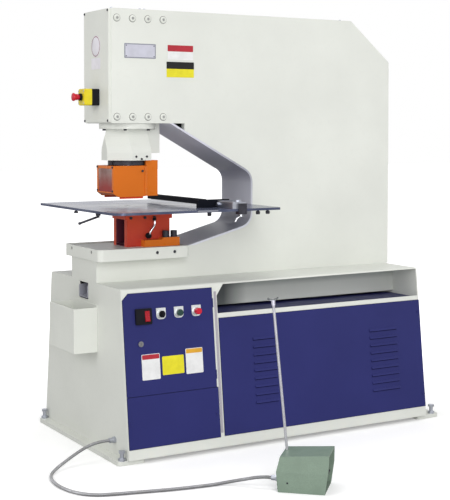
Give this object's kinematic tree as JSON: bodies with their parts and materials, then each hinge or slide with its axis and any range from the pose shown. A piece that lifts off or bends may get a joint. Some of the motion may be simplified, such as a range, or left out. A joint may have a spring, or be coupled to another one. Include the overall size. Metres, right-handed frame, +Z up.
{
  "type": "punch press",
  "caption": "Hydraulic punch press: C-shaped frame on a leaning-sided cabinet, gauge table with sliding fence, swing-open stripper guard, slug bin and hooded foot switch on a conduit.",
  "frame": {"origin": "on the floor under the head's front face, on the machine's middle plane; it lies on the front foot plate's underside", "axes": "+X from the head towards the rear of the C-frame, +Y away from the side with the controls, +Z up"},
  "size_m": [1.8873, 1.5298, 1.78],
  "materials": {
    "cream_paint": "semi-gloss",
    "blue_paint": "fine hammered",
    "grey_paint": "semi-gloss",
    "orange_paint": "gloss",
    "red_orange_paint": "gloss",
    "machined_steel": "ground",
    "dark_steel": "blackened",
    "zinc_steel": "zinc plated",
    "chrome": "polished",
    "black_plastic": "matte",
    "yellow_plastic": "satin",
    "red_plastic": "gloss",
    "green_plastic": "gloss",
    "label_plate": "satin",
    "smoked_window": "clear tinted",
    "hammered_green": "hammered",
    "tank_paint": "semi-gloss",
    "conduit_grey": "ribbed, galvanised",
    "mounting_plate": "matte"
  },
  "bodies": {
    "frame": {"frame_plate_near": "cream_paint", "frame_plate_far": "cream_paint", "frame_wrapper": "cream_paint", "frame_webs": "cream_paint", "throat_liner": "grey_paint", "frame_bolts": "cream_paint", "head_cover": "cream_paint", "stop_base": "black_plastic", "stop_lid": "yellow_plastic", "hydraulic_cylinder": "cream_paint", "guide_casting": "cream_paint", "locking_ring": "dark_steel", "rear_block": "cream_paint", "guard_arm": "orange_paint", "bed_plate": "cream_paint", "die_holder": "red_orange_paint", "die": "machined_steel", "holder_clamp": "red_orange_paint", "clamp_screws": "dark_steel", "gauge_table": "machined_steel", "table_brackets": "dark_steel", "foot_plates": "cream_paint", "cabinet": "cream_paint", "cabinet_front": "cream_paint", "rear_panel": "blue_paint", "tray_lining": "grey_paint", "lower_panel": "blue_paint", "louvred_panel": "blue_paint", "levelling_bolts": "zinc_steel", "slug_chute": "grey_paint", "slug_bin": "cream_paint", "oil_tank": "tank_paint", "pump_set": "grey_paint", "electrical_plate": "mounting_plate", "conduit_gland": "zinc_steel", "conduit": "conduit_grey", "switch_connector": "zinc_steel", "switch_hood": "hammered_green", "carry_rod": "chrome"},
    "ram": {"ram": "machined_steel", "punch_nut": "dark_steel", "punch": "machined_steel"},
    "guard": {"stripper_guard": "orange_paint", "guard_window": "smoked_window"},
    "stop_button": {"stop_button": "red_plastic"},
    "fence": {"fence_bar": "dark_steel", "fence_bracket": "zinc_steel", "fence_clamp": "dark_steel"},
    "fence_handle": {"fence_handle": "chrome"},
    "holder_lever": {"holder_lever": "chrome"},
    "table_lever": {"table_lever": "dark_steel"},
    "control_door": {"control_door": "blue_paint", "power_switch": "black_plastic", "button_plates": "label_plate"},
    "door_lock": {"door_lock": "chrome"},
    "power_rocker": {"power_rocker": "red_plastic"},
    "selector_knob": {"selector_knob": "black_plastic"},
    "start_button": {"start_button": "green_plastic"},
    "stop_cycle_button": {"stop_cycle_button": "red_plastic"},
    "treadle": {"treadle": "dark_steel"}
  },
  "joints": [
    {"name": "ram_stroke", "type": "slide", "parent": "frame", "child": "ram", "axis": [0, 0, -1], "range_m": [0, 0.05]},
    {"name": "guard_swing", "type": "hinge", "parent": "frame", "child": "guard", "pos_m": [0.176, -0.082, 1.07], "axis": [0, 0, 1], "range_deg": [0, 110]},
    {"name": "stop_push", "type": "slide", "parent": "frame", "child": "stop_button", "axis": [1, 0, 0], "range_m": [0, 0.006]},
    {"name": "fence_slide", "type": "slide", "parent": "frame", "child": "fence", "axis": [1, 0, 0], "range_m": [-0.09, 0.15]},
    {"name": "fence_clamp_turn", "type": "hinge", "parent": "fence", "child": "fence_handle", "pos_m": [0.452, -0.388, 0.93], "axis": [0, 0, 1], "range_deg": [-60, 60]},
    {"name": "holder_lever_turn", "type": "hinge", "parent": "frame", "child": "holder_lever", "pos_m": [0.192, -0.0703, 0.847], "axis": [0, -1, 0], "range_deg": [-25, 55]},
    {"name": "table_lever_turn", "type": "hinge", "parent": "frame", "child": "table_lever", "pos_m": [-0.092, -0.196, 0.95], "axis": [0, 0, 1], "range_deg": [-45, 45]},
    {"name": "door_swing", "type": "hinge", "parent": "frame", "child": "control_door", "pos_m": [0.334, -0.37705, 0.45635], "axis": [0, 0.1103, 0.9939], "range_deg": [0, 110]},
    {"name": "lock_turn", "type": "hinge", "parent": "control_door", "child": "door_lock", "pos_m": [0.005, -0.37387, 0.456], "axis": [0, -0.9939, 0.1103], "range_deg": [-90, 0]},
    {"name": "power_rock", "type": "hinge", "parent": "control_door", "child": "power_rocker", "pos_m": [0.0345, -0.37284, 0.56218], "axis": [1, 0, 0], "range_deg": [0, 14]},
    {"name": "selector_turn", "type": "hinge", "parent": "control_door", "child": "selector_knob", "pos_m": [0.099, -0.36177, 0.565], "axis": [0, -0.9939, 0.1103], "range_deg": [-45, 45]},
    {"name": "start_push", "type": "slide", "parent": "control_door", "child": "start_button", "axis": [0, 0.9939, -0.1103], "range_m": [0, 0.004], "stiffness_N_per_m": 400, "springref_m": -0.005},
    {"name": "stop_cycle_push", "type": "slide", "parent": "control_door", "child": "stop_cycle_button", "axis": [0, 0.9939, -0.1103], "range_m": [0, 0.004], "stiffness_N_per_m": 400, "springref_m": -0.005},
    {"name": "treadle_press", "type": "hinge", "parent": "frame", "child": "treadle", "pos_m": [0.32498, -0.94996, 0.034], "axis": [0.6871, 0.7266, 0], "range_deg": [0, 7], "stiffness_Nm_per_rad": 4, "springref_deg": -17.19}
  ]
}
